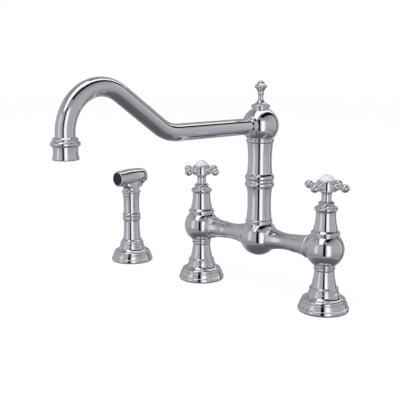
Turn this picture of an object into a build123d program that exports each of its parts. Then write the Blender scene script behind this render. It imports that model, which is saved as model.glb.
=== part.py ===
from build123d import *
from math import atan2, cos, hypot, radians, sin, sqrt, tan
import os

# Two-hole bridge kitchen mixer with a separate side spray. Millimetres. The origin is on the deck,
# midway between the two tap holes; +X points to the cold tap, -Y along the spout, +Z up.

# Places of the three deck holes and of the bridge
TAP_SPACING = 203.2        # centre to centre of the two tap holes, 8 in
SPRAY_OFFSET = 146.7       # side spray's hole, outboard of the hot tap's
BRIDGE_Z = 75.5            # axis of the bridge above the deck
SPOUT_Z = 218.1            # centre of the ball that the spout leaves

# Clearances
RUN = 0.05                 # radial, between a shaft and the hole it turns in
FIT = 0.02                 # radial, between two pieces screwed or pressed together
AIR = 0.3                  # between pieces that pass each other without touching

# Below the deck
DECK_T = 30.0              # worktop that the three shanks clamp
TAP_THREAD_R = 10.48       # G 1/2 thread, major radius
TAP_WAY_R = 6.5            # water way in the shank and leg
SUPPLY_THREAD_L = 16.0     # end of the shank that the supply screws onto
RUN_OUT_L = 3.0            # groove between it and the backnut
RUN_OUT_DEPTH = 0.9
SPRAY_THREAD_R = 13.22     # G 3/4 thread, major radius
SPRAY_WAY_R = 11.6         # the hose runs through this one
NUT_T = 8.0                # backnut height
NUT_LAND = 6.0             # nut's metal outside its thread, across the flats
GASKET_T = 3.0             # rubber washer under the deck
WASHER_T = 2.0             # steel washer under the rubber one
WASHER_LAND = 11.0         # washers' width outside the shank
SHANK_PLAY = 0.4           # washers and flange round the shank

# Base flange, the same on all three holes
FLANGE_R = 31.0
RIM_H = 5.3
BAND_R = 29.3
BAND_TOP_Z = 11.2
BEAD_R = 26.5
BEAD_TOP_Z = 16.2
DISH_R = 23.8              # outer edge of the concave dish
DISH_TOP_Z = 22.2
DISH_NECK_R = 18.7
COLLAR_R = 17.0
COLLAR_Z = 26.0
FLANGE_H = 28.9
SEAL_IN_R = 19.5           # rubber ring let into the underside
SEAL_OUT_R = 25.5
SEAL_T = 2.0

# Tap leg, between flange and ball
LEG_FOOT_R = 16.0
LEG_WAIST_R = 11.8
LEG_WAIST_Z = 49.3
LEG_TOP_R = 12.6
LEG_TOP_Z = 56.6
LEG_THREAD_TOP_Z = 42.0    # depth of the shank in the leg
SPIGOT_R = 9.5             # leg and arm spigots
SPIGOT_L = 4.2

# Tap ball and bonnet
TAP_BALL_R = 23.2
TAP_BALL_TOP_Z = 93.5
GALLERY_R = 12.0           # chamber round the cartridge
BONNET_FOOT_R = 16.5
BONNET_RING_R = 17.5
BONNET_WAIST_R = 12.0
BONNET_WAIST_Z = 121.0
BONNET_TOP_Z = 127.5
BONNET_BORE_R = 10.3
GLAND_R = 9.7
GLAND_FOOT_R = 8.7
GLAND_H = 6.0

# Ceramic disc cartridge
SEAT_Z = 70.0              # underside of the fixed disc
DISC_R = 7.4
DISC_T = 3.0
PORT_R = 2.1
PORT_OFFSET = 4.1
CARTRIDGE_R = 9.0
CARTRIDGE_HEX_R = 9.9
CARTRIDGE_HEX_H = 5.5
TUBE_NECK_R = 7.0
SPINDLE_R = 4.0
DRIVER_H = 7.6             # spindle's driving end, on the moving disc
GLAND_WEB_T = 2.5

# Cross handle
HANDLE_GAP = 0.4           # above the gland nut
NECK_R = 6.0
DRUM_R = 11.3              # drum that the arms stand on
HANDLE_NECK_L = 12.5       # from the handle's foot to its drum
BOWL_H = 4.0               # curve under the drum
AXIS_RISE = 5.2            # arms' axis above the drum's foot
CUP_R = 11.5
CUP_RISE = 5.4             # cup above the arms' axis
CUP_LIP_H = 1.6
BUTTON_R = 9.1
BUTTON_SINK = 1.2          # button's foot below the cup's edge
BUTTON_H = 9.8
ARM_L = 30.9               # tip of an arm from the handle's axis
ARM_BALL_R = 5.1
ARM_BALL_AT = 24.9
ARM_WAIST_R = 2.6
ARM_BEAD_R = 4.3
ARM_BEAD_AT = 12.6
ARMS = 4
SCREW_R = 2.0
SCREW_HEAD_R = 3.6
SCREW_HEAD_H = 2.6
SCREW_L = 14.0

# Bridge
HUB_BALL_R = 24.2
ARM_FACE_R = 14.5          # lips that close on the balls
BRIDGE_WAIST_R = 11.2
BRIDGE_WAIST_X = 57.0
BRIDGE_WAY_R = 6.0
SEAL_WIRE_R = 0.9

# Riser
RISER_FOOT_R = 16.0
RISER_RING_R = 17.2
RISER_BULGE = 1.5          # how far a ring's belly stands out
RISER_WAIST_R = 15.0
RISER_JOINT_Z = 148.0
RISER_TOP_R = 16.4
RISER_TOP_Z = 202.6
RISER_WAY_R = 8.0
RISER_SPIGOT_R = 11.5
RISER_SPIGOT_L = 9.0

# Spout ball, post it turns on, finial
SPOUT_BALL_R = 23.1
SPOUT_BUSH_T = 0.6         # between riser and ball
POST_R = 11.0
POST_FOOT_Z = 188.0
POST_TOP_Z = 229.8
STUD_R = 6.0
STUD_TOP_Z = 235.6
WEB_T = 2.0                # ball's web, held between post and nut
CAP_BORE_R = 9.0
RETAINER_R = 8.4
RETAINER_H = 2.8
O_RING_R = 1.25
O_RING_LOW_Z = 208.5
O_RING_HIGH_Z = 226.5
WINDOW_R = 5.0             # side windows in the post
FINIAL_FOOT_R = 11.8
FINIAL_FOOT_Z = 238.7
FINIAL_FOOT_H = 6.0        # groove and bead under its curve
FINIAL_NECK_R = 4.05
FINIAL_NECK_Z = 257.3
FINIAL_RIM_R = 6.3
FINIAL_TOP_Z = 274.0

# Spout tube and outlet
TUBE_R = 9.9
TUBE_WALL = 1.6
SPOUT_REACH = 299.0        # outlet's axis from the riser's
ARCH_R = 45.0              # centre line of the arch over the outlet
ARCH_CENTRE_Z = 225.2
RISE_ANGLE = 33.6          # slope of the tube's middle stretch
KNEE_R = 50.0
BOSS_R = 12.8              # socket on the spout ball
BOSS_END = 24.8            # its mouth, from the riser's axis
SOCKET_DEPTH = 11.0
OUTLET_TOP_Z = 222.6
OUTLET_SOCKET_L = 4.0
OUTLET_COLLAR_R = 14.7
OUTLET_WAIST_R = 12.1
OUTLET_LIP_R = 13.3
OUTLET_END_Z = 200.6
AERATOR_R = 10.7
AERATOR_L = 9.0
AERATOR_RECESS = 0.6       # above the outlet's lip
AERATOR_HOLE_R = 0.8
AERATOR_PITCH = 2.55       # rings of holes, six more in each
AERATOR_RINGS = 3
GASKET_RING_T = 1.6

# Side spray
HOLDER_TOP_Z = 33.0
HOLDER_SKIRT_Z = 14.0
HOLDER_WALL = 1.2
BUSH_WALL = 1.6
HOLDER_LIP_R = 13.8
TAIL_FOOT_Z = 15.0         # foot of the handset's tail, in the holder
HANDLE_FOOT_R = 13.7
HANDLE_WAIST_R = 11.8
HANDLE_RING_R = 12.7
HANDLE_TOP_Z = 103.7
HOSE_THREAD_R = 6.58       # G 1/4 inlet, major radius
HOSE_THREAD_L = 12.0
HANDSET_WAY_R = 4.0
HEAD_RING_R = 13.1
HEAD_NECK_R = 12.1
HEAD_AXIS_Z = 127.2        # axis of the nose
NOSE_R = 11.4
NOSE_SEAM = 17.4           # seam and front of the nose, from the handset's axis
NOSE_SEAM_R = 12.0
NOSE_FRONT = 26.4
FACE_R = 9.3
FACE_RECESS = 1.5
FACE_T = 5.0
JET_R = 0.55
JET_PITCH = 2.4            # rings of jets, six more in each
JET_RINGS = 3
LEVER_W = 8.0
LEVER_PIN_BACK = 24.5      # lever's hinge pin, behind the handset's axis
LEVER_PIN_Z = 130.5
LEVER_PIN_R = 1.5
LEVER_BOSS_R = 3.6
PIN_HALF_L = 6.4
CHAMBER_R = 4.6            # valve chamber in the head, round the plunger
CHAMBER_FRONT = 3.0        # its ends, behind the handset's axis
CHAMBER_BACK = 13.0
PLUNGER_Z = 121.5
PLUNGER_R = 1.5
PLUNGER_TIP = 23.5         # behind the handset's axis
PLUNGER_DISC_R = 3.2
PLUNGER_DISC_T = 2.0
PLUNGER_DISC_BACK = 12.0
SPRING_WIRE_R = 0.35
SPRING_TURNS = 5

BARREL_SECTIONS = (        # barrel of the head: behind the axis, radius, height of the centre
    (-NOSE_SEAM, NOSE_SEAM_R, HEAD_AXIS_Z),
    (-6.0, 12.4, HEAD_AXIS_Z + 0.7),
    (6.0, 12.0, HEAD_AXIS_Z + 1.1),
    (17.0, 10.7, HEAD_AXIS_Z + 2.0),
    (24.0, 8.5, HEAD_AXIS_Z + 2.8),
    (28.0, 5.4, HEAD_AXIS_Z + 3.3),
    (29.4, 2.0, HEAD_AXIS_Z + 3.5),
)
FLARE_Z = HANDLE_TOP_Z + 5.2
FLARE_SECTIONS = (         # flare from the neck into the barrel: height, front, back, half width
    (FLARE_Z, -HEAD_NECK_R - 0.3, HEAD_NECK_R + 0.3, HEAD_NECK_R + 0.2),
    (FLARE_Z + 4.0, -13.2, 12.6, 12.0),
    (FLARE_Z + 8.0, -16.0, 13.8, 11.6),
    (FLARE_Z + 11.2, -16.9, 16.8, 11.1),
    (FLARE_Z + 13.8, -17.0, 20.4, 10.5),
    (FLARE_Z + 16.2, -17.0, 23.0, 9.6),
)
LEVER_OUTER = ((30.1, 127.6), (29.2, 120.9), (21.4, 115.8), (16.8, 111.0))    # behind the axis, height
LEVER_INNER = ((27.8, 127.4), (27.5, 122.0), (20.3, 117.1), (15.3, 112.2))

TAP_X = TAP_SPACING / 2
SPRAY_X = -TAP_X - SPRAY_OFFSET
SIDE = Plane(origin=(0, 0, 0), x_dir=(0, -1, 0), z_dir=(-1, 0, 0))    # u runs forward, v up


def outline_face(points):
    """Closed face from points (u, v). A third value makes the stretch up to that point an arc that
    stands out by it on the right of the way travelled; a minus sign puts it on the left."""
    edges = []
    last = points[0]
    for point in points[1:] + points[:1]:
        if hypot(point[0] - last[0], point[1] - last[1]) > 1e-6:
            if len(point) == 3:
                edges.append(SagittaArc(last[:2], point[:2], -point[2]))
            else:
                edges.append(Line(last[:2], point[:2]))
        last = point
    return make_face(Curve() + edges)


def turned(*points):
    """Solid turned about Z from its outline (r, z), told from the bottom to the top."""
    foot = (0.0, points[0][1])
    top = (0.0, points[-1][1])
    return revolve(Plane.XZ * outline_face([foot, *points, top]), Axis.Z)


def rod(r, z0, z1):
    """Round bar or bore along Z."""
    return Pos(0, 0, (z0 + z1) / 2) * Cylinder(r, z1 - z0)


def ring(r_in, r_out, z0, z1):
    """Plain washer, tube or sleeve along Z."""
    return rod(r_out, z0, z1) - rod(r_in, z0 - 1, z1 + 1)


def o_ring(r_out, z, wire_r):
    """Rubber ring of round section, with its outer radius."""
    return Pos(0, 0, z) * Torus(r_out - wire_r, wire_r)


def chord_offset(ball_r, face_r):
    """How far from a ball's centre a flat facet of this radius lies."""
    return sqrt(ball_r ** 2 - face_r ** 2)


def dome_rise(r, height):
    """Rise of the arc from a dome's edge to its level top."""
    return hypot(r, height) / 2 * tan(atan2(height, r) / 2)


HUB_FACET = chord_offset(HUB_BALL_R, ARM_FACE_R)
TAP_FACET = chord_offset(TAP_BALL_R, ARM_FACE_R)
HUB_TOP_Z = BRIDGE_Z + chord_offset(HUB_BALL_R, RISER_FOOT_R)
WASHER_TOP_Z = -DECK_T - GASKET_T
NUT_TOP_Z = WASHER_TOP_Z - WASHER_T
NUT_FOOT_Z = NUT_TOP_Z - NUT_T
SHANK_FOOT_Z = NUT_FOOT_Z - RUN_OUT_L - SUPPLY_THREAD_L
GLAND_TOP_Z = BONNET_TOP_Z + GLAND_H
HANDLE_FOOT_Z = GLAND_TOP_Z + HANDLE_GAP
DRUM_FOOT_Z = HANDLE_FOOT_Z + HANDLE_NECK_L
ARM_AXIS_Z = DRUM_FOOT_Z + AXIS_RISE
CUP_Z = ARM_AXIS_Z + CUP_RISE
CUP_TOP_Z = CUP_Z + CUP_LIP_H
BUTTON_FOOT_Z = CUP_Z - BUTTON_SINK
BUTTON_TOP_Z = BUTTON_FOOT_Z + BUTTON_H
DISC_TOP_Z = SEAT_Z + 2 * DISC_T + RUN
DRIVER_TOP_Z = DISC_TOP_Z + DRIVER_H
SPINDLE_TOP_Z = ARM_AXIS_Z - 2.0
SCREW_SEAT_Z = ARM_AXIS_Z + 0.4
SPOUT_BALL_FOOT_Z = RISER_TOP_Z + SPOUT_BUSH_T


# Base flanges and what clamps them to the deck

def base_flange(thread_r):
    shell = turned(
        (FLANGE_R - 0.8, 0.0),
        (FLANGE_R - 0.8, RIM_H, 0.8),
        (BAND_R, RIM_H + 0.5),
        (BAND_R - 1.3, BAND_TOP_Z, 0.35),
        (BEAD_R - 0.3, BAND_TOP_Z + 0.4),
        (BEAD_R - 1.6, BEAD_TOP_Z, 1.1),
        (DISH_R, BEAD_TOP_Z - 0.3, 0.3),
        (DISH_NECK_R, DISH_TOP_Z, -1.3),
        (DISH_NECK_R - 0.6, DISH_TOP_Z + 0.3),
        (DISH_NECK_R - 0.8, DISH_TOP_Z + 2.0),
        (COLLAR_R + 0.2, COLLAR_Z - 1.5, -0.2),
        (COLLAR_R, COLLAR_Z),
        (COLLAR_R - 0.4, FLANGE_H, 0.9),
    )
    recess = ring(SEAL_IN_R, SEAL_OUT_R, -1, SEAL_T)
    return shell - recess - rod(thread_r + SHANK_PLAY, -1, FLANGE_H + 1)


def shank(thread_r, way_r, top_z):
    return ring(way_r, thread_r, SHANK_FOOT_Z, top_z)


def tap_shank():
    """Threaded tail, with a run-out groove between the backnut and the supply's thread."""
    groove = ring(TAP_THREAD_R - RUN_OUT_DEPTH, TAP_THREAD_R + 1, NUT_FOOT_Z - RUN_OUT_L, NUT_FOOT_Z)
    return shank(TAP_THREAD_R, TAP_WAY_R, LEG_THREAD_TOP_Z) - groove


def backnut(thread_r):
    flats = extrude(Pos(0, 0, NUT_FOOT_Z) * RegularPolygon(thread_r + NUT_LAND, 6, major_radius=False), NUT_T)
    return flats - rod(thread_r + FIT, NUT_FOOT_Z - 1, NUT_TOP_Z + 1)


def on_three_holes(make):
    """The same piece at the hot, cold and spray holes, sized to each shank's thread."""
    return Compound(
        [
            Pos(-TAP_X, 0, 0) * make(TAP_THREAD_R),
            Pos(TAP_X, 0, 0) * make(TAP_THREAD_R),
            Pos(SPRAY_X, 0, 0) * make(SPRAY_THREAD_R),
        ]
    )


def deck_seal(_thread_r):
    return ring(SEAL_IN_R + FIT, SEAL_OUT_R - FIT, 0, SEAL_T)


def clamp_gasket(thread_r):
    return ring(thread_r + SHANK_PLAY, thread_r + WASHER_LAND, WASHER_TOP_Z, -DECK_T)


def clamp_washer(thread_r):
    return ring(thread_r + SHANK_PLAY, thread_r + WASHER_LAND, NUT_TOP_Z, WASHER_TOP_Z)


# One tap, made about its own axis with the bridge on its +X side

def tap_leg():
    body = turned(
        (LEG_FOOT_R, FLANGE_H),
        (LEG_FOOT_R - 1.1, FLANGE_H + 2.4, -0.25),
        (LEG_WAIST_R, LEG_WAIST_Z, -0.35),
        (LEG_WAIST_R + 0.4, LEG_WAIST_Z + 1.2),
        (LEG_TOP_R - 0.7, LEG_TOP_Z - 3.4, 0.9),
        (LEG_TOP_R, LEG_TOP_Z, 0.6),
        (SPIGOT_R, LEG_TOP_Z),
        (SPIGOT_R, LEG_TOP_Z + SPIGOT_L),
    )
    tapped = rod(TAP_THREAD_R + FIT, FLANGE_H - 1, LEG_THREAD_TOP_Z)
    return body - tapped - rod(TAP_WAY_R, FLANGE_H, LEG_TOP_Z + SPIGOT_L + 1)


def tap_body():
    ball = Pos(0, 0, BRIDGE_Z) * Sphere(TAP_BALL_R)
    ball &= Pos(0, 0, (LEG_TOP_Z + TAP_BALL_TOP_Z) / 2) * Box(
        2 * TAP_BALL_R, 2 * TAP_BALL_R, TAP_BALL_TOP_Z - LEG_TOP_Z
    )
    wide = 3 * TAP_BALL_R
    ball -= Pos(TAP_FACET + wide / 2, 0, BRIDGE_Z) * Box(wide, wide, wide)
    inside = (
        rod(SPIGOT_R + FIT, LEG_TOP_Z - 1, LEG_TOP_Z + SPIGOT_L)
        + rod(TAP_WAY_R, LEG_TOP_Z, SEAT_Z)
        + rod(CARTRIDGE_R + FIT, SEAT_Z, TAP_BALL_TOP_Z + 1)
        + rod(GALLERY_R, SEAT_Z + 2.0, SEAT_Z + 16.0)
    )
    side_port = Pos(0, 0, BRIDGE_Z) * Rot(0, 90, 0) * rod(SPIGOT_R + FIT, CARTRIDGE_R, TAP_BALL_R)
    return ball - inside - side_port


def bonnet():
    cone = turned(
        (BONNET_FOOT_R, TAP_BALL_TOP_Z),
        (BONNET_RING_R, TAP_BALL_TOP_Z + 2.0, 0.4),
        (BONNET_FOOT_R, TAP_BALL_TOP_Z + 3.9, 0.4),
        (BONNET_FOOT_R - 0.9, TAP_BALL_TOP_Z + 4.9),
        (BONNET_FOOT_R - 2.3, TAP_BALL_TOP_Z + 8.3, -0.5),
        (BONNET_WAIST_R, BONNET_WAIST_Z, -0.75),
        (BONNET_WAIST_R + 0.6, BONNET_WAIST_Z + 1.3),
        (BONNET_WAIST_R + 0.4, BONNET_TOP_Z, 1.5),
        (GLAND_FOOT_R, BONNET_TOP_Z),
    )
    hollow = rod(BONNET_BORE_R, TAP_BALL_TOP_Z - 1, BONNET_WAIST_Z)
    return cone - hollow - rod(TUBE_NECK_R + FIT, BONNET_WAIST_Z - 1, BONNET_TOP_Z + 1)


def cartridge():
    gland_web_z = GLAND_TOP_Z - GLAND_WEB_T
    body = turned(
        (CARTRIDGE_R, SEAT_Z),
        (CARTRIDGE_R, TAP_BALL_TOP_Z),
        (CARTRIDGE_HEX_R, TAP_BALL_TOP_Z),
        (CARTRIDGE_HEX_R, TAP_BALL_TOP_Z + CARTRIDGE_HEX_H),
        (TUBE_NECK_R, TAP_BALL_TOP_Z + CARTRIDGE_HEX_H + 2.0),
        (TUBE_NECK_R, gland_web_z),
    )
    chamber = rod(DISC_R + AIR, SEAT_Z - 1, DRIVER_TOP_Z + AIR)
    window = Pos(0, 0, SEAT_Z + 2 * DISC_T + 4.0) * Box(3 * CARTRIDGE_R, 7.0, 6.0)
    return body - chamber - window - rod(SPINDLE_R + RUN, SEAT_Z, gland_web_z + 1)


def ported_disc(z0, r, turn):
    """Ceramic disc with two ports, 'turn' degrees round from the X axis."""
    disc = rod(r, z0, z0 + DISC_T)
    for side in (turn, turn + 180):
        port = Pos(PORT_OFFSET * cos(radians(side)), PORT_OFFSET * sin(radians(side)), 0)
        disc -= port * rod(PORT_R, z0 - 1, z0 + DISC_T + 1)
    return disc


def gland_nut():
    body = turned(
        (GLAND_FOOT_R, BONNET_TOP_Z),
        (GLAND_R, BONNET_TOP_Z + 3.6, -0.2),
        (GLAND_R - 0.3, BONNET_TOP_Z + 4.9, 0.3),
        (GLAND_R - 1.4, GLAND_TOP_Z),
    )
    web_z = GLAND_TOP_Z - GLAND_WEB_T
    thread = rod(TUBE_NECK_R + FIT, BONNET_TOP_Z - 1, web_z)
    return body - thread - rod(SPINDLE_R + AIR, web_z - 1, GLAND_TOP_Z + 1)


def spindle():
    stem = turned(
        (DISC_R - 0.1, DISC_TOP_Z),
        (DISC_R - 0.1, DRIVER_TOP_Z),
        (SPINDLE_R, DRIVER_TOP_Z),
        (SPINDLE_R, SPINDLE_TOP_Z),
    )
    cross_way = Pos(0, 0, DISC_TOP_Z) * Box(3 * DISC_R, 2 * PORT_R, DRIVER_H)
    return stem - cross_way - rod(SCREW_R + FIT, SCREW_SEAT_Z - SCREW_L, SPINDLE_TOP_Z + 1)


def handle_arm():
    """One arm of the cross, turned along Z from the hub out to its tip."""
    ball_half = 4.4
    ball_end_r = sqrt(ARM_BALL_R ** 2 - ball_half ** 2)
    rise = ARM_BALL_R - ball_end_r
    return turned(
        (ARM_BEAD_R - 1.2, 0.0),
        (ARM_BEAD_R - 1.2, ARM_BEAD_AT - 2.9),
        (ARM_BEAD_R - 1.2, ARM_BEAD_AT + 2.9, 1.2),
        (ARM_WAIST_R, ARM_BEAD_AT + 4.2, -0.3),
        (ARM_WAIST_R, ARM_BALL_AT - ball_half - 1.0),
        (ball_end_r + 0.3, ARM_BALL_AT - ball_half, -0.1),
        (ball_end_r, ARM_BALL_AT - ball_half),
        (ball_end_r, ARM_BALL_AT + ball_half, rise),
        (ARM_WAIST_R - 0.4, ARM_L - 0.9),
        (ARM_WAIST_R - 1.2, ARM_L, 0.3),
    )


def cross_handle():
    hub = turned(
        (NECK_R, HANDLE_FOOT_Z),
        (NECK_R, DRUM_FOOT_Z - BOWL_H),
        (DRUM_R + 0.2, DRUM_FOOT_Z - 0.5, -1.2),
        (DRUM_R, DRUM_FOOT_Z + 0.6, 0.35),
        (DRUM_R - 0.3, CUP_Z - 1.6),
        (CUP_R - 0.2, CUP_Z - 0.8, -0.2),
        (CUP_R - 0.6, CUP_TOP_Z, 0.4),
        (BUTTON_R + 0.6, CUP_TOP_Z),
    )
    for number in range(ARMS):
        hub += Pos(0, 0, ARM_AXIS_Z) * Rot(0, 0, number * 360 / ARMS) * Rot(0, 90, 0) * handle_arm()
    socket = rod(SPINDLE_R + FIT, HANDLE_FOOT_Z - 1, SPINDLE_TOP_Z)
    screw_hole = rod(SCREW_R + FIT, SPINDLE_TOP_Z - 1, CUP_Z)
    head_room = rod(SCREW_HEAD_R + AIR, SCREW_SEAT_Z, CUP_TOP_Z)
    button_seat = rod(BUTTON_R + FIT, BUTTON_FOOT_Z, CUP_TOP_Z + 1)
    return hub - socket - screw_hole - head_room - button_seat


def handle_screw():
    head_z = SCREW_SEAT_Z + SCREW_HEAD_H
    body = turned(
        (SCREW_R, SCREW_SEAT_Z - SCREW_L),
        (SCREW_R, SCREW_SEAT_Z),
        (SCREW_HEAD_R, SCREW_SEAT_Z),
        (SCREW_HEAD_R, head_z - 0.8),
        (SCREW_HEAD_R - 1.0, head_z, 0.25),
    )
    return body - Pos(0, 0, head_z) * Box(3 * SCREW_HEAD_R, 1.0, 2.0)


def handle_button():
    """Glazed dome, let into the cup of the handle."""
    side_z = CUP_TOP_Z + 1.6
    dome_r = BUTTON_R - 0.2
    return turned(
        (BUTTON_R - 0.5, BUTTON_FOOT_Z),
        (BUTTON_R, BUTTON_FOOT_Z + 0.5),
        (BUTTON_R, side_z - 1.0),
        (dome_r, side_z, 0.1),
        (0.0, BUTTON_TOP_Z, dome_rise(dome_r, BUTTON_TOP_Z - side_z)),
    )


# Bridge and riser

def bridge_arm():
    """Arm of the bridge along +X, from the hub's facet to the tap ball's."""
    inner = HUB_FACET
    outer = TAP_X - TAP_FACET
    lip = ARM_FACE_R
    arm = turned(
        (SPIGOT_R, inner - SPIGOT_L),
        (SPIGOT_R, inner),
        (lip, inner),
        (lip - 0.5, inner + 2.0, 0.3),
        (lip - 1.3, inner + 5.5, -0.2),
        (BRIDGE_WAIST_R, BRIDGE_WAIST_X, -1.7),
        (lip - 1.5, outer - 9.4, -0.45),
        (lip - 1.0, outer - 7.6),
        (lip - 0.2, outer - 3.8, 0.7),
        (lip, outer),
        (SPIGOT_R, outer),
        (SPIGOT_R, outer + SPIGOT_L),
    )
    for z in (inner - SPIGOT_L / 2, outer + SPIGOT_L / 2):
        arm -= ring(SPIGOT_R - 2 * SEAL_WIRE_R, SPIGOT_R + 1, z - SEAL_WIRE_R - 0.1, z + SEAL_WIRE_R + 0.1)
    arm -= rod(BRIDGE_WAY_R, 0, TAP_X)
    return Pos(0, 0, BRIDGE_Z) * Rot(0, 90, 0) * arm


def bridge_seals():
    """Rubber rings in the grooves of the two arms' spigots."""
    rings = []
    for x in (HUB_FACET - SPIGOT_L / 2, TAP_X - TAP_FACET + SPIGOT_L / 2):
        one = Pos(0, 0, BRIDGE_Z) * Rot(0, 90, 0) * o_ring(SPIGOT_R, x, SEAL_WIRE_R)
        rings += [one, mirror(one, Plane.YZ)]
    return Compound(rings)


def bridge_hub():
    ball = Pos(0, 0, BRIDGE_Z) * Sphere(HUB_BALL_R)
    high = HUB_TOP_Z - BRIDGE_Z + HUB_BALL_R
    ball &= Pos(0, 0, HUB_TOP_Z - high / 2) * Box(2 * HUB_FACET, 2 * HUB_BALL_R, high)
    socket = rod(RISER_SPIGOT_R + FIT, HUB_TOP_Z - RISER_SPIGOT_L, HUB_TOP_Z + 1)
    well = rod(RISER_WAY_R - 1.0, BRIDGE_Z - BRIDGE_WAY_R, HUB_TOP_Z)
    cross_way = Pos(0, 0, BRIDGE_Z) * Rot(0, 90, 0) * rod(BRIDGE_WAY_R, -HUB_BALL_R, HUB_BALL_R)
    ball -= socket + well + cross_way
    for side in (1, -1):
        end = Pos(0, 0, BRIDGE_Z) * Rot(0, 90 * side, 0)
        ball -= end * rod(SPIGOT_R + FIT, HUB_FACET - SPIGOT_L, HUB_BALL_R)
    return ball


def riser_lower():
    outer = turned(
        (RISER_SPIGOT_R, HUB_TOP_Z - RISER_SPIGOT_L),
        (RISER_SPIGOT_R, HUB_TOP_Z),
        (RISER_FOOT_R, HUB_TOP_Z),
        (RISER_FOOT_R + 0.5, HUB_TOP_Z + 0.5),
        (RISER_RING_R - 0.7, HUB_TOP_Z + 4.6, 1.0),
        (RISER_RING_R - 1.2, HUB_TOP_Z + 6.4, -0.2),
        (RISER_WAIST_R, HUB_TOP_Z + 29.0, -0.4),
        (RISER_WAIST_R + 1.1, RISER_JOINT_Z - 9.2, -0.35),
        (RISER_RING_R, RISER_JOINT_Z - 7.9),
        (RISER_RING_R, RISER_JOINT_Z - 1.1, RISER_BULGE),
        (RISER_RING_R, RISER_JOINT_Z),
    )
    way = rod(RISER_WAY_R, HUB_TOP_Z - RISER_SPIGOT_L - 1, RISER_JOINT_Z + 1)
    socket = rod(RISER_SPIGOT_R + FIT, RISER_JOINT_Z - RISER_SPIGOT_L, RISER_JOINT_Z + 1)
    return outer - way - socket


def riser_upper():
    outer = turned(
        (RISER_SPIGOT_R, RISER_JOINT_Z - RISER_SPIGOT_L),
        (RISER_SPIGOT_R, RISER_JOINT_Z),
        (RISER_RING_R, RISER_JOINT_Z),
        (RISER_RING_R, RISER_JOINT_Z + 1.1),
        (RISER_RING_R, RISER_JOINT_Z + 7.9, RISER_BULGE),
        (RISER_WAIST_R + 1.1, RISER_JOINT_Z + 9.2),
        (RISER_WAIST_R, RISER_JOINT_Z + 27.0, -0.25),
        (RISER_TOP_R, RISER_TOP_Z - 6.2, -0.35),
        (RISER_TOP_R + 0.8, RISER_TOP_Z - 5.0),
        (RISER_TOP_R + 0.7, RISER_TOP_Z - 1.6, 0.4),
        (RISER_TOP_R, RISER_TOP_Z - 0.9),
        (RISER_TOP_R, RISER_TOP_Z),
    )
    way = rod(RISER_WAY_R, RISER_JOINT_Z - RISER_SPIGOT_L - 1, POST_FOOT_Z)
    return outer - way - rod(POST_R + FIT, POST_FOOT_Z, RISER_TOP_Z + 1)


def diverter():
    """Cup-shaped piston that rises in the riser's bore and turns the flow from the spray to the spout."""
    foot = HUB_TOP_Z - RISER_SPIGOT_L + RUN
    cup = rod(RISER_WAY_R - RUN, foot, foot + 11.0) - rod(RISER_WAY_R - 1.6, foot - 1, foot + 9.0)
    for turn in (0, 90):
        cup -= Pos(0, 0, foot + 5.5) * Rot(0, 0, turn) * Box(3 * RISER_WAY_R, 4.0, 4.0)
    return cup - rod(2.0, foot, foot + 12.0)


# Spout

def spout_post():
    """Brass post screwed into the riser; the spout ball turns on it."""
    body = turned(
        (POST_R, POST_FOOT_Z),
        (POST_R, POST_TOP_Z),
        (STUD_R, POST_TOP_Z),
        (STUD_R, STUD_TOP_Z),
    )
    for z in (O_RING_LOW_Z, O_RING_HIGH_Z):
        body -= ring(POST_R - 2 * O_RING_R, POST_R + 1, z - O_RING_R - 0.1, z + O_RING_R + 0.1)
    window = Pos(0, 0, SPOUT_Z) * Rot(90, 0, 0) * rod(WINDOW_R, -2 * POST_R, 2 * POST_R)
    return body - rod(RISER_WAY_R - 1.0, POST_FOOT_Z - 1, SPOUT_Z + WINDOW_R + 1.0) - window


def spout_seals():
    return Compound([o_ring(POST_R, z, O_RING_R) for z in (O_RING_LOW_Z, O_RING_HIGH_Z)])


def spout_bush():
    """Nylon ring that the spout ball slides round on."""
    return ring(POST_R + AIR, RISER_TOP_R - 0.8, RISER_TOP_Z, SPOUT_BALL_FOOT_Z - RUN)


def retaining_nut():
    z0 = POST_TOP_Z + RUN + WEB_T + RUN
    flats = extrude(Pos(0, 0, z0) * RegularPolygon(RETAINER_R, 6), RETAINER_H)
    return flats - rod(STUD_R + FIT, z0 - 1, z0 + RETAINER_H + 1)


def spout_ball():
    ball = Pos(0, 0, SPOUT_Z) * Sphere(SPOUT_BALL_R)
    ball &= Pos(0, 0, (SPOUT_BALL_FOOT_Z + FINIAL_FOOT_Z) / 2) * Box(
        2 * SPOUT_BALL_R, 2 * SPOUT_BALL_R, FINIAL_FOOT_Z - SPOUT_BALL_FOOT_Z
    )
    boss = turned(
        (BOSS_R, 0.0),
        (BOSS_R, BOSS_END - 1.6),
        (BOSS_R - 0.8, BOSS_END - 0.4, 0.3),
        (BOSS_R - 1.6, BOSS_END),
    )
    out = Pos(0, 0, SPOUT_Z) * Rot(90, 0, 0)
    web_z = POST_TOP_Z + RUN
    inside = (
        rod(POST_R + RUN, SPOUT_BALL_FOOT_Z - 1, web_z)
        + rod(STUD_R + RUN, web_z - 1, web_z + WEB_T + 1)
        + rod(CAP_BORE_R, web_z + WEB_T, FINIAL_FOOT_Z + 1)
    )
    tube_seat = BOSS_END - SOCKET_DEPTH
    outlet = rod(TUBE_R + FIT, tube_seat, BOSS_END + 1) + rod(TUBE_R - TUBE_WALL, POST_R - 4, tube_seat + 1)
    return ball + out * boss - inside - out * outlet


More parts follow.
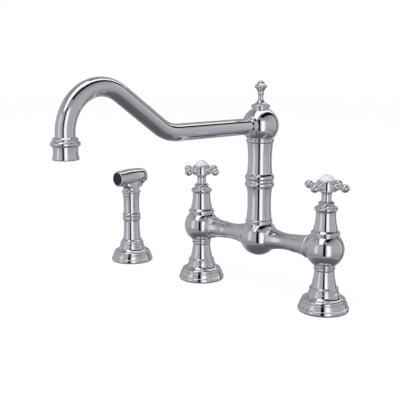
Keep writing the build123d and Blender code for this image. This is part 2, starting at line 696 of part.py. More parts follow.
def finial():
    screw_z = STUD_TOP_Z + 0.8
    tip_r = FINIAL_RIM_R - 1.2
    return turned(
        (CAP_BORE_R - FIT, screw_z),
        (CAP_BORE_R - FIT, FINIAL_FOOT_Z),
        (FINIAL_FOOT_R - 1.4, FINIAL_FOOT_Z),
        (FINIAL_FOOT_R - 1.2, FINIAL_FOOT_Z + 1.6),
        (FINIAL_FOOT_R - 0.9, FINIAL_FOOT_Z + FINIAL_FOOT_H - 0.6, 1.2),
        (FINIAL_FOOT_R - 2.6, FINIAL_FOOT_Z + FINIAL_FOOT_H),
        (FINIAL_NECK_R, FINIAL_NECK_Z, -3.0),
        (FINIAL_RIM_R, FINIAL_NECK_Z + 6.9, -0.8),
        (FINIAL_RIM_R, FINIAL_NECK_Z + 11.2, 1.5),
        (tip_r, FINIAL_NECK_Z + 12.2),
        (0.0, FINIAL_TOP_Z, dome_rise(tip_r, FINIAL_TOP_Z - FINIAL_NECK_Z - 12.2)),
    )


def spout_path(start):
    """Centre line of the tube: level, up the slope, over the arch and down to the outlet."""
    slope = radians(RISE_ANGLE)
    top_tangent = (SPOUT_REACH - ARCH_R - ARCH_R * sin(slope), ARCH_CENTRE_Z + ARCH_R * cos(slope))
    knee = top_tangent[0] - (top_tangent[1] - SPOUT_Z) / tan(slope)
    back_off = KNEE_R * tan(slope / 2)
    run_out = knee - back_off
    knee_end = (knee + back_off * cos(slope), SPOUT_Z + back_off * sin(slope))
    arch_end = (SPOUT_REACH, ARCH_CENTRE_Z)
    return Curve() + [
        Line((start, SPOUT_Z), (run_out, SPOUT_Z)),
        TangentArc((run_out, SPOUT_Z), knee_end, tangent=(1, 0)),
        Line(knee_end, top_tangent),
        TangentArc(top_tangent, arch_end, tangent=(cos(slope), sin(slope))),
        Line(arch_end, (SPOUT_REACH, OUTLET_TOP_Z - OUTLET_SOCKET_L)),
    ]


def spout_tube():
    start = BOSS_END - SOCKET_DEPTH
    path = SIDE * spout_path(start)
    mouth = Pos(0, -start, SPOUT_Z) * Rot(90, 0, 0)
    return sweep(mouth * Circle(TUBE_R), path) - sweep(mouth * Circle(TUBE_R - TUBE_WALL), path)


def spout_outlet():
    top = OUTLET_TOP_Z
    shell = turned(
        (OUTLET_LIP_R - 0.6, OUTLET_END_Z),
        (OUTLET_LIP_R - 0.2, OUTLET_END_Z + 2.0, 0.35),
        (OUTLET_WAIST_R, OUTLET_END_Z + 8.0, -0.25),
        (OUTLET_WAIST_R + 0.4, top - 9.0, -0.05),
        (OUTLET_COLLAR_R - 0.8, top - 8.5),
        (OUTLET_COLLAR_R - 0.6, top - 4.6, 0.75),
        (TUBE_R + 2.2, top - 3.4, 0.2),
        (TUBE_R + 2.2, top - 0.9, 0.7),
        (TUBE_R + 1.0, top),
    )
    seat = top - OUTLET_SOCKET_L
    socket = rod(TUBE_R + FIT, seat, top + 1)
    way = rod(TUBE_R - TUBE_WALL, OUTLET_END_Z, seat + 1)
    aerator_top = OUTLET_END_Z + AERATOR_RECESS + AERATOR_L + GASKET_RING_T
    thread = rod(AERATOR_R + FIT, OUTLET_END_Z - 1, aerator_top)
    return Pos(0, -SPOUT_REACH, 0) * (shell - socket - way - thread)


def ringed_holes(rings, pitch, drill):
    """Drills at the centre and in rings round it: six in the first ring and six more in each next."""
    spots = [Pos(0, 0, 0)]
    for number in range(1, rings + 1):
        count = 6 * number
        spots += [Rot(0, 0, turn * 360 / count) * Pos(number * pitch, 0, 0) for turn in range(count)]
    return [spot * drill for spot in spots]


def aerator():
    """Flow straightener: a sleeve with a plate of small holes set up inside it."""
    z0 = OUTLET_END_Z + AERATOR_RECESS
    sleeve = rod(AERATOR_R, z0, z0 + AERATOR_L) - rod(AERATOR_R - 1.6, z0 - 1, z0 + 1.4)
    sleeve -= rod(AERATOR_R - 1.6, z0 + 3.4, z0 + AERATOR_L + 1)
    sleeve -= ringed_holes(AERATOR_RINGS, AERATOR_PITCH, rod(AERATOR_HOLE_R, z0, z0 + 4.4))
    return Pos(0, -SPOUT_REACH, 0) * sleeve


def aerator_gasket():
    z0 = OUTLET_END_Z + AERATOR_RECESS + AERATOR_L
    return Pos(0, -SPOUT_REACH, 0) * ring(TUBE_R - TUBE_WALL, AERATOR_R, z0, z0 + GASKET_RING_T)


# Side spray, made about its own axis

def spray_holder():
    """Ring on the flange with a skirt screwed into the shank; the handset stands in it."""
    skirt_r = SPRAY_WAY_R - FIT
    body = turned(
        (skirt_r, HOLDER_SKIRT_Z),
        (skirt_r, FLANGE_H),
        (LEG_FOOT_R, FLANGE_H),
        (LEG_FOOT_R - 1.0, HOLDER_TOP_Z - 1.4, 0.3),
        (HOLDER_LIP_R + 0.5, HOLDER_TOP_Z - 0.9),
        (HOLDER_LIP_R, HOLDER_TOP_Z),
    )
    return body - rod(skirt_r - HOLDER_WALL, HOLDER_SKIRT_Z - 1, HOLDER_TOP_Z + 1)


BUSH_R = SPRAY_WAY_R - HOLDER_WALL - 2 * FIT
TAIL_R = BUSH_R - BUSH_WALL - RUN
HANDSET_FOOT_Z = HOLDER_TOP_Z + AIR


def spray_holder_bush():
    return ring(BUSH_R - BUSH_WALL, BUSH_R, HOLDER_SKIRT_Z, HOLDER_TOP_Z)


def spray_handle():
    """Hollow grip of the handset, with the hose's thread in its foot."""
    mid = HANDSET_FOOT_Z + 29.0
    body = turned(
        (TAIL_R - 0.8, TAIL_FOOT_Z),
        (TAIL_R, TAIL_FOOT_Z + 0.8),
        (TAIL_R, HANDSET_FOOT_Z),
        (HANDLE_FOOT_R, HANDSET_FOOT_Z),
        (HANDLE_FOOT_R - 0.8, HANDSET_FOOT_Z + 3.4, -0.2),
        (HANDLE_WAIST_R, mid - 4.5, -0.25),
        (HANDLE_WAIST_R + 0.1, mid - 0.8),
        (HANDLE_RING_R, mid),
        (HANDLE_RING_R, mid + 4.9, 1.0),
        (HANDLE_RING_R, mid + 5.9),
        (HANDLE_RING_R, mid + 10.8, 1.0),
        (HANDLE_WAIST_R + 0.1, mid + 11.6),
        (HANDLE_WAIST_R, HANDLE_TOP_Z - 13.0),
        (HANDLE_WAIST_R + 1.0, HANDLE_TOP_Z - 2.0, -0.2),
        (HANDLE_WAIST_R + 1.0, HANDLE_TOP_Z),
        (SPIGOT_R, HANDLE_TOP_Z),
        (SPIGOT_R, HANDLE_TOP_Z + SPIGOT_L),
    )
    inlet = rod(HOSE_THREAD_R, TAIL_FOOT_Z - 1, TAIL_FOOT_Z + HOSE_THREAD_L)
    return body - inlet - rod(HANDSET_WAY_R, TAIL_FOOT_Z, HANDLE_TOP_Z + SPIGOT_L + 1)


def behind(distance, z):
    """Frame on the spray's axis plane, its Z axis pointing back, at a distance behind the handset."""
    return Pos(0, distance, z) * Rot(-90, 0, 0)


def lever_side(points):
    """Points of the lever's side in the outline's own u and v."""
    return [(-back, z) for back, z in points]


def spray_head():
    barrel = loft([behind(back, z) * Circle(r) for back, r, z in BARREL_SECTIONS])
    collar = turned(
        (HEAD_RING_R, HANDLE_TOP_Z + 0.1),
        (HEAD_RING_R, HANDLE_TOP_Z + 3.9, 1.1),
        (HEAD_NECK_R, FLARE_Z, -0.2),
    )
    flare = loft(
        [
            Pos(0, (front + back) / 2, z) * Ellipse(half_width, (back - front) / 2)
            for z, front, back, half_width in FLARE_SECTIONS
        ]
    )
    head = barrel + collar + flare
    slot_front = LEVER_PIN_BACK - LEVER_BOSS_R - 1.4
    slot_top_z = LEVER_PIN_Z + LEVER_BOSS_R + 0.4
    reach = 2 * LEVER_PIN_BACK
    head -= Pos(0, slot_front + reach / 2, slot_top_z - reach / 2) * Box(LEVER_W + 2 * AIR, reach, reach)
    head -= lever_bore(LEVER_PIN_R + FIT)
    chamber = behind(0, PLUNGER_Z) * rod(CHAMBER_R, CHAMBER_FRONT, CHAMBER_BACK)
    guide = behind(0, PLUNGER_Z) * rod(PLUNGER_R + RUN, CHAMBER_FRONT, reach)
    way = rod(SPIGOT_R + FIT, HANDLE_TOP_Z, HANDLE_TOP_Z + SPIGOT_L)
    way += rod(HANDSET_WAY_R, HANDLE_TOP_Z, PLUNGER_Z)
    nose_way = behind(-NOSE_SEAM, HEAD_AXIS_Z) * rod(HANDSET_WAY_R, -1, NOSE_SEAM + CHAMBER_FRONT + 2.0)
    return head - chamber - guide - way - nose_way


def spray_nose():
    """Front ring of the head, screwed on at the seam."""
    length = NOSE_FRONT - NOSE_SEAM
    body = turned(
        (NOSE_SEAM_R - 0.35, 0.0),
        (NOSE_SEAM_R, 0.35),
        (NOSE_R, length - 1.0, 0.15),
        (NOSE_R - 0.7, length, 0.25),
    )
    body -= rod(FACE_R + FIT, length - FACE_RECESS - FACE_T, length + 1) + rod(HANDSET_WAY_R, -1, length)
    return Pos(0, -NOSE_SEAM, HEAD_AXIS_Z) * Rot(90, 0, 0) * body


def spray_face():
    """Rubber plate with rings of jets."""
    plate = turned(
        (FACE_R, 0.0),
        (FACE_R, FACE_T - 0.8),
        (FACE_R - 0.8, FACE_T),
    )
    plate -= ringed_holes(JET_RINGS, JET_PITCH, rod(JET_R, -1, FACE_T + 1))
    return Pos(0, -(NOSE_FRONT - FACE_RECESS - FACE_T), HEAD_AXIS_Z) * Rot(90, 0, 0) * plate


def lever_bore(r):
    """Cross bore or bar on the lever's hinge axis."""
    return Pos(0, LEVER_PIN_BACK, LEVER_PIN_Z) * Rot(0, 90, 0) * rod(r, -PIN_HALF_L, PIN_HALF_L)


def spray_lever():
    """Thumb lever hung on its pin behind the head, following the head's curved back."""
    tip, heel, bend, tail = lever_side(LEVER_OUTER)
    inner_tip, inner_heel, inner_bend, inner_tail = lever_side(LEVER_INNER)
    crown = (-LEVER_PIN_BACK, LEVER_PIN_Z + LEVER_BOSS_R)
    throat = (LEVER_BOSS_R - 0.2 - LEVER_PIN_BACK, LEVER_PIN_Z)
    side = [
        crown, throat, inner_tip, (*inner_heel, 0.6), (*inner_bend, -0.3), (*inner_tail, 0.3),
        tail, (*bend, -0.3), (*heel, 0.3), (*tip, -0.6), (*crown, -1.4),
    ]
    blade = extrude(SIDE * outline_face(side), LEVER_W / 2, both=True)
    boss = lever_bore(LEVER_BOSS_R) & Pos(0, LEVER_PIN_BACK, LEVER_PIN_Z) * Box(LEVER_W, 20, 20)
    return blade + boss - lever_bore(LEVER_PIN_R + RUN)


def spray_lever_pin():
    return lever_bore(LEVER_PIN_R)


def spray_plunger():
    """Valve plunger that the lever pushes forward against its spring."""
    tip = PLUNGER_TIP - PLUNGER_R
    stem = rod(PLUNGER_R, PLUNGER_DISC_BACK - PLUNGER_DISC_T, tip) + Pos(0, 0, tip) * Sphere(PLUNGER_R)
    disc = rod(PLUNGER_DISC_R, PLUNGER_DISC_BACK - PLUNGER_DISC_T, PLUNGER_DISC_BACK)
    return behind(0, PLUNGER_Z) * (stem + disc)


def spray_spring():
    """Return spring between the chamber's front wall and the plunger's disc."""
    low = CHAMBER_FRONT + SPRING_WIRE_R + FIT
    high = PLUNGER_DISC_BACK - PLUNGER_DISC_T - SPRING_WIRE_R - FIT
    coil_r = PLUNGER_DISC_R - SPRING_WIRE_R
    coil = Helix((high - low) / SPRING_TURNS, high - low, coil_r)
    start = Plane(origin=coil @ 0, z_dir=coil % 0)
    return behind(0, PLUNGER_Z) * Pos(0, 0, low) * sweep(start * Circle(SPRING_WIRE_R), coil, is_frenet=True)


def tap_parts():
    """The pieces of one tap, shut: its handle's arms along and across the bridge."""
    port_turn = 90
    return {
        "base_flange": base_flange(TAP_THREAD_R),
        "shank": tap_shank(),
        "leg": tap_leg(),
        "tap_body": tap_body(),
        "bonnet": bonnet(),
        "cartridge": cartridge(),
        "fixed_disc": ported_disc(SEAT_Z, DISC_R, 0),
        "moving_disc": ported_disc(SEAT_Z + DISC_T + RUN, DISC_R - 0.1, port_turn),
        "spindle": spindle(),
        "gland_nut": gland_nut(),
        "cross_handle": cross_handle(),
        "handle_screw": handle_screw(),
        "handle_button": handle_button(),
    }


def spray_parts():
    return {
        "base_flange": base_flange(SPRAY_THREAD_R),
        "shank": shank(SPRAY_THREAD_R, SPRAY_WAY_R, COLLAR_Z),
        "holder": spray_holder(),
        "holder_bush": spray_holder_bush(),
        "handle": spray_handle(),
        "head": spray_head(),
        "nose": spray_nose(),
        "face": spray_face(),
        "lever": spray_lever(),
        "lever_pin": spray_lever_pin(),
        "plunger": spray_plunger(),
        "spring": spray_spring(),
    }


def all_parts():
    parts = {
        "deck_seals": on_three_holes(deck_seal),
        "clamp_gaskets": on_three_holes(clamp_gasket),
        "clamp_washers": on_three_holes(clamp_washer),
        "backnuts": on_three_holes(backnut),
        "bridge_arm_cold": bridge_arm(),
        "bridge_arm_hot": mirror(bridge_arm(), Plane.YZ),
        "bridge_seals": bridge_seals(),
        "bridge_hub": bridge_hub(),
        "riser_lower": riser_lower(),
        "riser_upper": riser_upper(),
        "diverter": diverter(),
        "spout_post": spout_post(),
        "spout_seals": spout_seals(),
        "spout_bush": spout_bush(),
        "retaining_nut": retaining_nut(),
        "spout_ball": spout_ball(),
        "finial": finial(),
        "spout_tube": spout_tube(),
        "spout_outlet": spout_outlet(),
        "aerator": aerator(),
        "aerator_gasket": aerator_gasket(),
    }
    hot_place = Pos(-TAP_X, 0, 0)
    cold_place = Pos(TAP_X, 0, 0) * Rot(0, 0, 180)
    for name, piece in tap_parts().items():
        parts["hot_" + name] = hot_place * piece
        parts["cold_" + name] = cold_place * piece
    for name, piece in spray_parts().items():
        parts["spray_" + name] = Pos(SPRAY_X, 0, 0) * piece
    return parts


os.makedirs("parts", exist_ok=True)
for node, shape in all_parts().items():
    export_step(shape, f"parts/{node}.step")
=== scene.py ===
import math

import bpy
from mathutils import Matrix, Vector


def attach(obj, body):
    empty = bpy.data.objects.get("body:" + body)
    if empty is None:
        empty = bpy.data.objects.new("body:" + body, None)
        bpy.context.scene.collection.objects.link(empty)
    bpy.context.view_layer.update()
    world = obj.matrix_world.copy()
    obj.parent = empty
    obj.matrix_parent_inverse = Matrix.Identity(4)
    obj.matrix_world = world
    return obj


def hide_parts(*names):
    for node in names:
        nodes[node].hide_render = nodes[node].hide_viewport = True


# A two-hole bridge kitchen mixer in polished chrome, with white porcelain buttons and a side spray.
# Metres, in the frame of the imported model: the deck is z = 0, the spout points along -Y.
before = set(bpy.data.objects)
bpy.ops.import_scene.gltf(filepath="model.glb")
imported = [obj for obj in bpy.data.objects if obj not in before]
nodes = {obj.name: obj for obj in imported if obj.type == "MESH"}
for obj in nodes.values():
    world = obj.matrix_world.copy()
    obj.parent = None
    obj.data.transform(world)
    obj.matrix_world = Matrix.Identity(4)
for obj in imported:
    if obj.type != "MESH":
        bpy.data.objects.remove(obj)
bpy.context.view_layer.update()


# Camera: a long lens in front of the cold tap, a little above the spout's ball, looking down at the
# bridge. The whole set stands free in the picture.

CAMERA_PLACE = Vector((0.57805, -0.71940, 0.28579))
CAMERA_AIM = Vector((-0.67779, 0.71424, -0.17451))
LENS_MM = 65.66
SENSOR_MM = 36.0

camera_data = bpy.data.cameras.new("camera")
camera_data.lens = LENS_MM
camera_data.sensor_width = SENSOR_MM
camera_data.clip_start = 0.05
camera_data.clip_end = 50.0
camera = bpy.data.objects.new("camera", camera_data)
bpy.context.scene.collection.objects.link(camera)
camera.location = CAMERA_PLACE
camera.rotation_mode = "QUATERNION"
camera.rotation_quaternion = CAMERA_AIM.to_track_quat("-Z", "Y")
bpy.context.scene.camera = camera
bpy.context.scene.view_settings.view_transform = "Standard"


# Studio: a plain grey sweep, tall strip lights that stand round the set with a black flag beside the
# brightest, and an overhead light panel with a black flag along one side. Polished metal shows them;
# the camera sees only white.

class Value:
    """A number that varies over a surface: operators on it add the Math nodes."""

    def __init__(self, graph, socket):
        self.graph = graph
        self.socket = socket

    def math(self, operation, *others):
        return self.graph.node("ShaderNodeMath", {"operation": operation}, [self, *others])

    def __add__(self, other):
        return self.math("ADD", other)

    def __mul__(self, other):
        return self.math("MULTIPLY", other)

    def __sub__(self, other):
        return self.math("SUBTRACT", other)

    def __truediv__(self, other):
        return self.math("DIVIDE", other)

    def __rsub__(self, other):
        return self.graph.node("ShaderNodeMath", {"operation": "SUBTRACT"}, [other, self])

    def above(self, edge, soft):
        """0 below the edge, 1 above it, with a smooth change 'soft' wide to each side."""
        settings = {"interpolation_type": "SMOOTHSTEP"}
        return self.graph.node("ShaderNodeMapRange", settings, [self, edge - soft, edge + soft, 0.0, 1.0])

    def between(self, low, high, soft):
        return self.above(low, soft) * (1 - self.above(high, soft))


class Graph:
    """The nodes of one material or of the world."""

    def __init__(self, tree):
        self.tree = tree
        tree.nodes.clear()

    def node(self, kind, settings=None, inputs=(), output=0):
        made = self.tree.nodes.new(kind)
        for key, value in (settings or {}).items():
            if key == "stops":
                self.set_stops(made.color_ramp, value)
            else:
                setattr(made, key, value)
        pairs = inputs.items() if isinstance(inputs, dict) else enumerate(inputs)
        for key, value in pairs:
            self.feed(made.inputs[key], value)
        return Value(self, made.outputs[output]) if made.outputs else None

    def feed(self, socket, value):
        if isinstance(value, Value):
            self.tree.links.new(value.socket, socket)
        elif value is not None:
            socket.default_value = value

    def set_stops(self, ramp, stops):
        while len(ramp.elements) < len(stops):
            ramp.elements.new(0.5)
        for element, (place, shade) in zip(ramp.elements, stops):
            element.position = place
            element.color = (*shade, 1.0)


def tone(level):
    """Linear strength of a grey that shows as this level, from 0 to 255."""
    share = level / 255
    return share / 12.92 if share < 0.04 else ((share + 0.055) / 1.055) ** 2.4


CHROME_SHARE = 0.90                 # what polished chrome gives back of the light that meets it
VIEW_AZIMUTH = math.radians(38.8)   # the studio is set square to the camera's stand
WHITE = tone(255) / CHROME_SHARE
BLACK = tone(14) / CHROME_SHARE
WALL_TONES = (                      # elevation in degrees, level of the plain studio wall and floor
    (-90, 86), (-60, 92), (-50, 101), (-42, 116), (-37, 148), (-33, 146), (-28, 138), (-18, 154),
    (-8, 165), (20, 167), (36, 152), (50, 136), (62, 112), (75, 130),
)

world = bpy.data.worlds.new("studio")
bpy.context.scene.world = world
world.use_nodes = True
sky = Graph(world.node_tree)
way = sky.node("ShaderNodeTexCoord", output="Generated")


def cool(level):
    """Studio grey of this level, a little blue as in daylight."""
    strength = tone(level) / CHROME_SHARE
    return (0.97 * strength, 0.99 * strength, 1.06 * strength)


def along(direction):
    return sky.node("ShaderNodeVectorMath", {"operation": "DOT_PRODUCT"}, [way, direction], output="Value")


right = along((math.cos(VIEW_AZIMUTH), math.sin(VIEW_AZIMUTH), 0.0))
front = along((math.sin(VIEW_AZIMUTH), -math.cos(VIEW_AZIMUTH), 0.0))
up = along((0.0, 0.0, 1.0))
azimuth = right.math("ARCTAN2", front) * math.degrees(1.0)
elevation = up.math("ARCSINE") * math.degrees(1.0)
stops = [((angle + 90) / 180, cool(level)) for angle, level in WALL_TONES]
light = sky.node("ShaderNodeValToRGB", {"stops": stops}, [(elevation + 90) / 180])


def lay(under, strength, mask):
    """Puts a light or a flag of one strength over the picture of the studio."""
    shade = strength if isinstance(strength, tuple) else (strength, strength, strength)
    return sky.node("ShaderNodeMix", {"data_type": "RGBA"}, {0: mask, 6: under, 7: (*shade, 1.0)}, output=2)


away = azimuth.math("ABSOLUTE")
STANDING = (      # strength, bearing, then from, to and softness on it and upwards, in degrees
    (cool(214), azimuth, (-68, -49, 8), (-17, 30, 6)),      # dim strip on the left
    (cool(186), azimuth, (103, 116, 5), (-16, 30, 6)),      # dim strip behind on the right
    (cool(40), azimuth, (119, 129, 2), (-50, 36, 6)),       # its dark frame
    (cool(146), away, (140, 200, 9), (-40, 28, 6)),         # wall behind the set
    (cool(196), azimuth, (4, 36, 7), (-30, 30, 5)),         # glow round the main strip
    (WHITE, azimuth, (8, 27, 5), (-32, 31, 3)),             # main strip
    (BLACK, azimuth, (-16, -0.5, 1.2), (-32, 41, 2.5)),     # black flag beside it
)
for strength, bearing, bearing_edges, height_edges in STANDING:
    light = lay(light, strength, bearing.between(*bearing_edges) * elevation.between(*height_edges))

# Places on the overhead panel, in its own plane one unit above: across it, and along it to the front
PANEL_TURN = math.radians(30.6)
HORIZON = 0.02                      # lowest direction that the panel's plane is worked out for
height = up.math("MAXIMUM", HORIZON)
overhead = up.above(0.05, 0.02)
across = (right * math.cos(PANEL_TURN) + front * math.sin(PANEL_TURN)) / height
ahead = (front * math.cos(PANEL_TURN) - right * math.sin(PANEL_TURN)) / height
front_wing = across.between(-0.40, 0.14, 0.04) * ahead.between(-0.35, 1.33, 0.05)
main_panel = across.between(-0.10, 0.22, 0.04) * ahead.between(-2.3, 0.0, 0.04)
flag = across.above(0.27, 0.03) * (1 - across.above(0.70, 0.08)) * ahead.between(-1.9, 0.58, 0.04)
light = lay(light, WHITE, overhead * front_wing.math("MAXIMUM", main_panel))
light = lay(light, BLACK, overhead * flag)

DIFFUSE_LEVEL = 0.80
path = "ShaderNodeLightPath"
is_glossy = sky.node(path, output="Is Glossy Ray")
is_through = sky.node(path, output="Is Transmission Ray")
seen_in_metal = is_glossy.math("MAXIMUM", is_through)
plain = (DIFFUSE_LEVEL, DIFFUSE_LEVEL, DIFFUSE_LEVEL, 1.0)
mixed = sky.node("ShaderNodeMix", {"data_type": "RGBA"}, {0: seen_in_metal, 6: plain, 7: light}, output=2)
white = (1.0, 1.0, 1.0, 1.0)
is_camera = sky.node(path, output="Is Camera Ray")
shown = sky.node("ShaderNodeMix", {"data_type": "RGBA"}, {0: is_camera, 6: mixed, 7: white}, output=2)
background = sky.node("ShaderNodeBackground", inputs={"Color": shown, "Strength": 1.0})
sky.node("ShaderNodeOutputWorld", inputs={"Surface": background})


# Deck: the pale worktop that the three flanges stand on. It runs out to white and keeps only the
# faint shadow of the set. What hangs under the worktop is hidden by it from above.

DECK_HALF = 6.0
DECK_SINK = 0.0002                  # just under the flanges' feet
SHADOW_SHARE = 0.16
SHEET_STRENGTH = 1.04
UNDER_DECK = (
    "backnuts", "clamp_washers", "clamp_gaskets", "deck_seals", "hot_shank", "cold_shank", "spray_shank",
)

bpy.ops.object.select_all(action="DESELECT")
bpy.ops.mesh.primitive_plane_add(size=2 * DECK_HALF, location=(0.0, 0.0, -DECK_SINK))
deck = bpy.context.object
deck.name = "deck"
deck.visible_glossy = False
deck_material = bpy.data.materials.new("white_worktop")
deck_material.use_nodes = True
paint = Graph(deck_material.node_tree)
worktop = paint.node("ShaderNodeBsdfDiffuse", inputs={"Color": (0.92, 0.92, 0.92, 1.0)})
sheet = paint.node("ShaderNodeEmission", inputs={"Color": white, "Strength": SHEET_STRENGTH})
to_camera = paint.node("ShaderNodeLightPath", output="Is Camera Ray")
both = paint.node("ShaderNodeMixShader", inputs=[to_camera * (1 - SHADOW_SHARE), worktop, sheet])
paint.node("ShaderNodeOutputMaterial", inputs={"Surface": both})
deck.data.materials.append(deck_material)
for hidden in UNDER_DECK:
    nodes[hidden].visible_glossy = False

KEY_PLACE = Vector((0.1, -1.5, 1.9))
KEY_AIM = Vector((0.0, 0.0, 0.1))
KEY_SIZE = 1.6
KEY_WATTS = 22.0
key_data = bpy.data.lights.new("key", "AREA")
key_data.size = KEY_SIZE
key_data.energy = KEY_WATTS
key = bpy.data.objects.new("key", key_data)
bpy.context.scene.collection.objects.link(key)
key.location = KEY_PLACE
key.rotation_mode = "QUATERNION"
key.rotation_quaternion = (KEY_AIM - KEY_PLACE).to_track_quat("-Z", "Y")
key.visible_glossy = False


# Plated brass: every turned piece that shows. Each is turned, polished and plated with nickel and
# chrome; the polish leaves a very slight waviness and haze.

MM = 0.001


def material(name):
    """A new material and its graph."""
    made = bpy.data.materials.new(name)
    made.use_nodes = True
    return made, Graph(made.node_tree)


def noise(graph, size, detail=2.0):
    """Cloudy pattern from 0 to 1, with spots of about this size in metres."""
    where = graph.node("ShaderNodeTexCoord", output="Object")
    return graph.node("ShaderNodeTexNoise", inputs={"Vector": where, "Scale": 1 / size, "Detail": detail})


def finish_material(graph, **inputs):
    """Ends a material in one principled shader with these inputs."""
    names = {name.replace("_", " "): value for name, value in inputs.items()}
    shader = graph.node("ShaderNodeBsdfPrincipled", inputs=names)
    graph.node("ShaderNodeOutputMaterial", inputs={"Surface": shader})


def blend_colours(graph, share, first, second):
    """The first colour where the share is 0, the second where it is 1."""
    inputs = {0: share, 6: (*first, 1.0), 7: (*second, 1.0)}
    return graph.node("ShaderNodeMix", {"data_type": "RGBA"}, inputs, output=2)


def relief(graph, pattern, depth, strength=1.0):
    """Bump of this depth in metres."""
    return graph.node("ShaderNodeBump", inputs={"Strength": strength, "Distance": depth, "Height": pattern})


def wear(coat, node_names):
    """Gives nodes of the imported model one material."""
    for node_name in node_names:
        slots = nodes[node_name].data.materials
        slots.clear()
        slots.append(coat)


chrome, plating = material("chrome_plate")
haze = noise(plating, 30 * MM)
finish_material(
    plating,
    Base_Color=blend_colours(plating, haze, (0.885, 0.887, 0.893), (0.905, 0.905, 0.910)),
    Metallic=1.0,
    Roughness=noise(plating, 9 * MM, 4.0) * 0.02 + 0.025,
    Normal=relief(plating, noise(plating, 22 * MM), 0.006 * MM),
)
TAPS = ("hot_", "cold_")
PLATED_TAP = ("base_flange", "leg", "tap_body", "bonnet", "gland_nut", "cross_handle")
PLATED_BODY = ("bridge_arm_cold", "bridge_arm_hot", "bridge_hub", "riser_lower", "riser_upper", "spout_ball")
PLATED_SPOUT = ("finial", "spout_tube", "spout_outlet")
PLATED_SPRAY = (
    "spray_base_flange", "spray_holder", "spray_handle", "spray_head", "spray_nose", "spray_lever",
)
wear(chrome, [tap + piece for tap in TAPS for piece in PLATED_TAP])
wear(chrome, [*PLATED_BODY, *PLATED_SPOUT, *PLATED_SPRAY])


# Spout tube: drawn brass tube, bent at a knee and over an arch, polished until no flat shows. It is
# soldered into the ball's socket and the end bell.

TUBE_R = 9.9 * MM
TUBE_WALL = 1.6 * MM
TUBE_SIDES = 112
KNEE_STEPS = 24
ARCH_STEPS = 72
TUBE_AXIS_Z = 218.1 * MM
TUBE_START = 13.8 * MM              # all from the riser's axis, along the spout
LEVEL_END = 146.90 * MM
KNEE_R = 50.0 * MM
RISE = math.radians(33.6)
SLOPE_RUN = (0.0, -54.53 * MM, 36.23 * MM)
ARCH_AT = 254.0 * MM
ARCH_Z = 225.2 * MM
DROP = 6.6 * MM


def settle(piece, name, coat):
    """Names a new piece, gives it its material and puts its place into its mesh."""
    piece.name = name
    piece.data.name = name
    piece.data.materials.clear()
    piece.data.materials.append(coat)
    bpy.ops.object.select_all(action="DESELECT")
    piece.select_set(True)
    bpy.context.view_layer.objects.active = piece
    bpy.ops.object.transform_apply(location=True, rotation=True, scale=True)


tube_mouth = (0.0, -TUBE_START, TUBE_AXIS_Z)
along_spout = (math.pi / 2, 0.0, 0.0)
bpy.ops.object.select_all(action="DESELECT")
bpy.ops.mesh.primitive_circle_add(
    vertices=TUBE_SIDES, radius=TUBE_R, location=tube_mouth, rotation=along_spout
)
tube = bpy.context.object
bpy.ops.object.transform_apply(location=True, rotation=True, scale=True)
bpy.ops.object.mode_set(mode="EDIT")
bpy.ops.mesh.select_all(action="SELECT")
bpy.ops.mesh.extrude_region_move(TRANSFORM_OT_translate={"value": (0.0, TUBE_START - LEVEL_END, 0.0)})
knee_centre = (0.0, -LEVEL_END, TUBE_AXIS_Z + KNEE_R)
bpy.ops.mesh.spin(steps=KNEE_STEPS, angle=RISE, center=knee_centre, axis=(1.0, 0.0, 0.0))
bpy.ops.mesh.extrude_region_move(TRANSFORM_OT_translate={"value": SLOPE_RUN})
arch_centre = (0.0, -ARCH_AT, ARCH_Z)
arch_turn = RISE + math.pi / 2
bpy.ops.mesh.spin(steps=ARCH_STEPS, angle=arch_turn, center=arch_centre, axis=(-1.0, 0.0, 0.0))
bpy.ops.mesh.extrude_region_move(TRANSFORM_OT_translate={"value": (0.0, 0.0, -DROP)})
bpy.ops.mesh.select_all(action="SELECT")
bpy.ops.mesh.normals_make_consistent(inside=False)
bpy.ops.object.mode_set(mode="OBJECT")
wall = tube.modifiers.new("wall", "SOLIDIFY")
wall.thickness = TUBE_WALL
wall.offset = -1.0
bpy.ops.object.modifier_apply(modifier=wall.name)
bpy.ops.object.shade_smooth_by_angle(angle=math.radians(40))
settle(tube, "polished_spout_tube", chrome)
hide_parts("spout_tube")
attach(tube, "spout")


# Bare brass: what the deck and the covers hide. It is turned and left unplated, so it shows the fine
# rings of the tool and some tarnish.

brass, turned_brass = material("turned_brass")
tarnish = noise(turned_brass, 8 * MM, 5.0)
where = turned_brass.node("ShaderNodeTexCoord", output="Object")
height_up = turned_brass.node("ShaderNodeSeparateXYZ", inputs=[where], output="Z")
TOOL_FEED = 0.35 * MM               # from one turned ring to the next
tool_rings = (height_up * (2 * math.pi / TOOL_FEED)).math("SINE")
finish_material(
    turned_brass,
    Base_Color=blend_colours(turned_brass, tarnish, (0.50, 0.33, 0.13), (0.74, 0.56, 0.27)),
    Metallic=1.0,
    Roughness=tarnish * 0.22 + 0.20,
    Normal=relief(turned_brass, tool_rings, 0.01 * MM, 0.5),
)
wear(brass, [tap + "shank" for tap in TAPS])
wear(brass, ["spray_shank", "backnuts", "spout_post", "retaining_nut", "spray_plunger"])


# Headwork of the taps: brass cartridges and spindles, nickelled dull so that no yellow shows in the gap
# under a handle.

nickel, nickelled = material("dull_nickel")
bloom = noise(nickelled, 5 * MM, 4.0)
finish_material(
    nickelled,
    Base_Color=blend_colours(nickelled, bloom, (0.52, 0.50, 0.46), (0.64, 0.62, 0.58)),
    Metallic=1.0,
    Roughness=bloom * 0.15 + 0.22,
    Normal=relief(nickelled, bloom, 0.005 * MM),
)
wear(nickel, [tap + piece for tap in TAPS for piece in ("cartridge", "spindle")])


